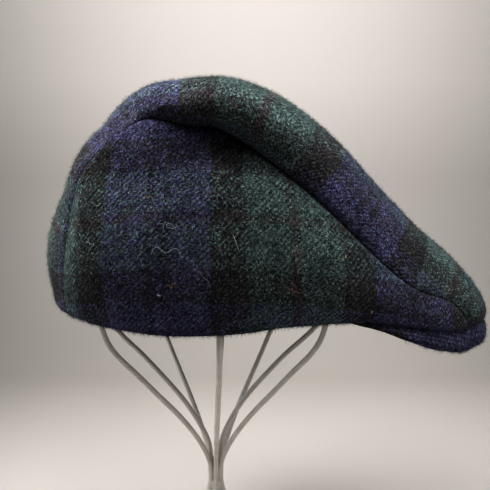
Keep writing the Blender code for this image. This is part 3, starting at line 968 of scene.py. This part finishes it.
def coated_wire():
    finish = Finish("coated_wire")
    mottle = finish.spread(finish.grain("wire_mottle"), "wire_mottle")
    scuff = finish.spread(finish.grain("wire_scuff"), "wire_scuff")
    gloss = finish.spread(finish.grain("wire_gloss"), "wire_gloss")
    coat = finish.blend(mottle, rgba(COLOURS["wire"]), rgba(COLOURS["pale_wire"]))
    shader = finish.shader
    finish.feed(shader.inputs["Base Color"], finish.blend(scuff, coat, rgba(COLOURS["scuffed_wire"])))
    finish.feed(shader.inputs["Roughness"], gloss)
    shader.inputs["Metallic"].default_value = 0.0
    shader.inputs["Coat Weight"].default_value = 0.25
    shader.inputs["Coat Roughness"].default_value = 0.3
    finish.bump(finish.grain("wire_bump"), strength=0.25, distance=0.0003)
    return finish.material


def hair_material(tone):
    finish = Finish("hair_" + tone)
    tint = finish.spread(finish.grain("hair"), "hair")
    colour = finish.blend(tint, rgba(HAIR_TONES[tone]), rgba(COLOURS["dull_hair"]))
    finish.feed(finish.shader.inputs["Base Color"], colour)
    finish.shader.inputs["Roughness"].default_value = 0.6
    return finish.material


def fibres(panel, outer, places, material):
    """Short loose fibres that stand out of a cloth, each a thin bent ribbon, denser at its rims."""
    random = np.random.default_rng(panel.fibre_seed)
    count = panel.fibres
    corner = outer[:-1, :-1]
    areas = np.linalg.norm(np.cross(outer[1:, :-1] - corner, outer[:-1, 1:] - corner), axis=-1)
    if panel.rims:
        distance = border_distance(outer, panel.rims)[:-1, :-1]
        areas *= 1 + rim_fuzz * np.exp(-(distance / rim_fuzz_reach) ** 2)
    chance = (areas / areas.sum()).ravel()
    chosen = random.choice(len(chance), size=count, p=chance)
    i, j = np.unravel_index(chosen, areas.shape)
    a = random.random((count, 1))
    b = random.random((count, 1))

    def mix(grid):
        low = grid[i, j] * (1 - a) + grid[i + 1, j] * a
        high = grid[i, j + 1] * (1 - a) + grid[i + 1, j + 1] * a
        return low * (1 - b) + high * b

    def directions():
        return random.normal(size=(count, 3))

    def shares(limits):
        return random.uniform(*limits, (count, 1))

    root = mix(outer)
    normal = unit(mix(grid_normals(outer)))
    along = unit(np.cross(normal, directions()))
    heading = unit(normal * shares(fibre_rise) + along)
    half = fibre_length * shares(fibre_shares) ** fibre_shortness / 2
    bend = unit(directions()) * shares(fibre_bends)
    elbow = root + heading * half
    tip = elbow + unit(heading + bend) * half
    root = root - normal * fibre_root
    wide = unit(np.cross(heading, directions())) * fibre_width / 2
    thin = wide * fibre_tip
    ribs = [root - wide, root + wide, elbow - wide, elbow + wide, tip - thin, tip + thin]
    vertices = np.stack(ribs, axis=1).reshape(-1, 3)
    start = np.arange(count)[:, None] * len(ribs)
    faces = np.concatenate([start + (0, 1, 3, 2), start + (2, 3, 5, 4)]).tolist()
    laid = np.repeat(mix(places), len(ribs), axis=0)
    return add_mesh(panel.node + "_fuzz", vertices, faces, material, laid)


def ring_faces(rings, sides, closed=False):
    """Faces of a tube of rings that follow one another, with flat ends unless it is closed."""
    faces = []
    for i in range(rings if closed else rings - 1):
        after = (i + 1) % rings
        for j in range(sides):
            k = (j + 1) % sides
            faces.append([i * sides + j, i * sides + k, after * sides + k, after * sides + j])
    if not closed:
        faces.append(list(range(sides))[::-1])
        faces.append([(rings - 1) * sides + j for j in range(sides)])
    return faces


def swept(path, run, across, radius, sides, first_turn=0.0, closed=False):
    """Vertices and faces of a tube along a path, from its run and a direction across it."""
    other = np.cross(run, across)
    turn = ((np.arange(sides) + first_turn) * 2 * math.pi / sides)[None, :, None]
    ring = across[:, None] * np.cos(turn) + other[:, None] * np.sin(turn)
    vertices = (path[:, None] + ring * radius).reshape(-1, 3)
    return vertices, ring_faces(len(path), sides, closed)


def turned(profile, sides):
    """Vertices and faces of a closed solid turned round the stand's axis."""
    turn = np.arange(sides) * 2 * math.pi / sides
    rings = [np.stack([r * np.cos(turn), r * np.sin(turn), 0 * turn + z], axis=-1) for r, z in profile]
    return np.concatenate(rings), ring_faces(len(profile), sides)


def joined(shapes):
    """One list of vertices and faces for several shapes."""
    vertices = np.concatenate([points for points, _ in shapes])
    faces = []
    start = 0
    for points, rings in shapes:
        faces += [[start + k for k in ring] for ring in rings]
        start += len(points)
    return vertices, faces


def hair_path(hair, tree):
    """A hair's line, laid on the near side of the cap."""
    share = np.linspace(0, 1, hair_steps + 1)
    wave = hair.wave * np.sin(share * hair_waves * 2 * math.pi)
    heading = np.radians(hair.lean + hair.curl * share + wave)[1:]
    step = hair.length / hair_steps
    x = hair.x + np.concatenate([[0], np.cumsum(np.cos(heading) * step)])
    z = hair.z + np.concatenate([[0], np.cumsum(np.sin(heading) * step)])
    path = []
    for number in range(hair_steps + 1):
        hit, normal, _, _ = tree.ray_cast(Vector((x[number], look_from_y, z[number])), Vector((0, 1, 0)))
        if hit is not None:
            normal *= math.copysign(1.0, -normal.y)
            lift = hair_lift + hair.lift * math.sin(share[number] * math.pi)
            path.append(hit + normal * lift)
    return np.array(path)


def stray_hairs(tone, tree):
    """Long loose hairs of one tone that lie on the near side of the cap."""
    shapes = []
    for hair in HAIRS:
        if hair.tone == tone:
            path = hair_path(hair, tree)
            run = unit(np.gradient(path, axis=0))
            across = unit(np.cross(run, (0, 1, 0)))
            shapes.append(swept(path, run, across, hair.width / 2, hair_sides))
    return add_mesh("hairs_" + tone, *joined(shapes), hair_material(tone))


def wire_profile(hub_level, wire):
    """Radius and height of a wire's line, from the foot ring up to the hub."""
    back_reach = (-SECTIONS[0].edge_x - SECTIONS[0].centre_x) * cap_length
    room = min(rim_width / 2 - rim_clearance, back_reach - back_clearance)
    balloon_radius = (room - cloth_wall - wire_diameter / 2) * wire.wide
    foot_level = wire_diameter / 2
    levels = {
        "leg": (foot_radius, foot_level, waist_height),
        "waist": (0, waist_height, waist_height),
        "balloon": (balloon_radius, waist_height, rim_height),
        "dome": (balloon_radius, rim_height, hub_level),
    }
    points = []
    for bend in BENDS:
        radius, low, high = levels[bend.part]
        share = bend.radius ** wire.late if bend.part == "balloon" else bend.radius
        points.append((max(share * radius, waist_radius), low + bend.height * (high - low)))
    points.append((hub_grip, hub_level))
    points = np.array(points)
    places = run_shares(points)
    at = np.linspace(0, 1, wire_steps + 1)
    return [natural_spline(places, column, at) for column in points.T]


def rounded_bar(radius, low, high, rounding, steps=5):
    """Profile of a short upright bar with rounded ends."""
    turns = np.linspace(0, math.pi / 2, steps)
    lower = [(radius - rounding * (1 - math.sin(t)), low + rounding * (1 - math.cos(t))) for t in turns]
    return lower + [(r, low + high - z) for r, z in lower[::-1]]


def bent_wire(wire, hub_level):
    turn = math.radians(wire.turn)
    out, height = wire_profile(hub_level, wire)
    path = np.stack([out * math.sin(turn), -out * math.cos(turn), height], axis=-1)
    run = unit(np.gradient(path, axis=0))
    outward = unit((path[0] - path[-1]) * (1, 1, 0))
    across = np.broadcast_to(np.cross(outward, (0, 0, 1)), path.shape)
    return swept(path, run, across, wire_diameter / 2, wire_sides, first_turn=0.5)


def weld_bead(wire):
    """A small lump of weld where a wire meets the foot ring."""
    tilts = np.linspace(bead_end_turn, math.pi - bead_end_turn, bead_steps)
    points, faces = turned([(math.sin(tilt), -math.cos(tilt)) for tilt in tilts], bead_sides)
    x, y, z = (points * bead_size).T
    turn = math.radians(wire.turn)
    along = math.cos(turn)
    aside = math.sin(turn)
    spun = np.stack([x * along - y * aside, x * aside + y * along, z + bead_rise], axis=-1)
    return spun + (foot_radius * aside, -foot_radius * along, wire_diameter / 2), faces


def foot_ring():
    turn = np.arange(ring_steps) * 2 * math.pi / ring_steps
    level = 0 * turn + wire_diameter / 2
    path = np.stack([foot_radius * np.cos(turn), foot_radius * np.sin(turn), level], axis=-1)
    run = unit(np.roll(path, -1, axis=0) - np.roll(path, 1, axis=0))
    across = np.broadcast_to((0, 0, 1), path.shape)
    return swept(path, run, across, wire_diameter / 2, wire_sides, first_turn=0.5, closed=True)


def wire_stand(material):
    hub_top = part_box("wire_stand")[1][2]
    hub_bottom = hub_top - hub_thickness
    shapes = []
    for wire in WIRES:
        shapes.append(bent_wire(wire, (hub_top + hub_bottom) / 2))
        shapes.append(weld_bead(wire))
    shapes.append(foot_ring())
    weld_bottom = waist_height - weld_length / 2
    weld = rounded_bar(weld_radius, weld_bottom, weld_bottom + weld_length, weld_rounding)
    shapes.append(turned(weld, weld_sides))
    shapes.append(turned(rounded_bar(hub_radius, hub_bottom, hub_top, hub_rounding), hub_sides))
    return add_mesh("wire_stand_smooth", *joined(shapes), material)


def cap_walls():
    """Outer grid, inner grid and places in the flat cloth of each of the cap's pieces."""
    grids = cap_grids()
    lay_flat = {"top": top_cloth_places, "side": side_cloth_places, "peak": peak_cloth_places}
    walls = {}
    for panel in PANELS:
        outer, inner = grids[panel.cut]
        places = lay_flat[panel.cut](outer)
        outer, inner = soften(outer, inner, panel.hems, panel.ripple_seed)
        if panel.node == "side_panel_left":
            outer = mirrored(outer)[::-1]
            inner = mirrored(inner)[::-1]
            places = places[::-1]
        walls[panel.node] = (outer, inner, places)
    return walls


def build_cap():
    walls = cap_walls()
    cloths = {cut: tartan(cut + "_tweed", CUTS[cut]) for cut in CUTS}
    fuzzes = {cut: tartan(cut + "_fuzz", CUTS[cut], fuzz=True) for cut in CUTS}
    pieces = {
        panel.node: [shell(panel.node + "_cloth", *walls[panel.node], cloths[panel.cut])]
        for panel in PANELS
    }
    for panel in PANELS:
        outer, _, places = walls[panel.node]
        pieces[panel.node].append(fibres(panel, outer, places, fuzzes[panel.cut]))
    near_side = surface_tree(walls["side_panel_right"][0])
    pieces["side_panel_right"] += [stray_hairs(tone, near_side) for tone in HAIR_TONES]
    for node, made in pieces.items():
        for piece in made:
            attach(piece, "root")
            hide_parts(node)


def build_stand():
    stand = wire_stand(coated_wire())
    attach(stand, "root")
    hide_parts("wire_stand")


def backdrop_finish():
    finish = Finish("backdrop")
    place = finish.split(finish.body)
    # Painted shade: the backdrop's colour darkens where the floor bends up into the wall
    floor_clear_of_painted_shade = finish.spread(place[1], "floor")
    wall_clear_of_painted_shade = finish.spread(place[2], "wall")
    pale = finish.math("MAXIMUM", floor_clear_of_painted_shade, wall_clear_of_painted_shade)
    colour = finish.blend(pale, rgba(COLOURS["bend_painted_shade"]), rgba(COLOURS["floor"]))
    finish.feed(finish.shader.inputs["Base Color"], colour)
    finish.shader.inputs["Roughness"].default_value = 0.9
    return finish.material


def backdrop():
    """A pale floor that curves up into a wall behind the object, painted darker where it bends as
    painted shade.
    """
    profile = [(floor_front, 0.0), (bend_start, 0.0)]
    for turn in np.linspace(bend_first_turn, math.pi / 2, bend_steps):
        profile.append((bend_start + bend_radius * math.sin(turn), bend_radius * (1 - math.cos(turn))))
    profile.append((bend_start + bend_radius, wall_top))
    sides = (-backdrop_half_width, backdrop_half_width)
    vertices = [(x, y, z) for y, z in profile for x in sides]
    faces = [[2 * i, 2 * i + 1, 2 * i + 3, 2 * i + 2] for i in range(len(profile) - 1)]
    made = add_mesh("backdrop", vertices, faces, backdrop_finish())
    made.location.x = 0.0


def from_axis(place):
    return Vector(place) + Vector((axis_x, 0, 0))


def lights():
    for row in LIGHTS:
        light = bpy.data.lights.new(row.name, "AREA")
        light.shape = "SQUARE"
        light.size = row.size
        light.energy = row.power
        light.spread = math.radians(row.spread)
        made = bpy.data.objects.new(row.name, light)
        made.location = from_axis(row.place)
        aim = from_axis(row.towards) - made.location
        made.rotation_euler = aim.to_track_quat("-Z", "Y").to_euler()
        bpy.context.collection.objects.link(made)
    world = bpy.context.scene.world or bpy.data.worlds.new("world")
    bpy.context.scene.world = world
    world.use_nodes = True
    background = world.node_tree.nodes["Background"]
    background.inputs["Color"].default_value = rgba(COLOURS["room"])
    background.inputs["Strength"].default_value = room_light


def camera():
    """The photo's view: 35 cm from the stand's axis and looking down on the cap a little."""
    data = bpy.data.cameras.new("camera")
    data.sensor_width = sensor_millimetres
    data.lens = sensor_millimetres * focal_pixels / photo_pixels
    data.clip_start = clip_start
    made = bpy.data.objects.new("camera", data)
    made.location = from_axis(camera_place)
    made.rotation_euler = (math.radians(90.0 - camera_fall), 0.0, 0.0)
    bpy.context.collection.objects.link(made)
    bpy.context.scene.camera = made


camera()
build_cap()
build_stand()
backdrop()
lights()
bpy.context.scene.view_settings.view_transform = "Standard"
bpy.context.scene.view_settings.gamma = view_gamma
bpy.context.view_layer.update()
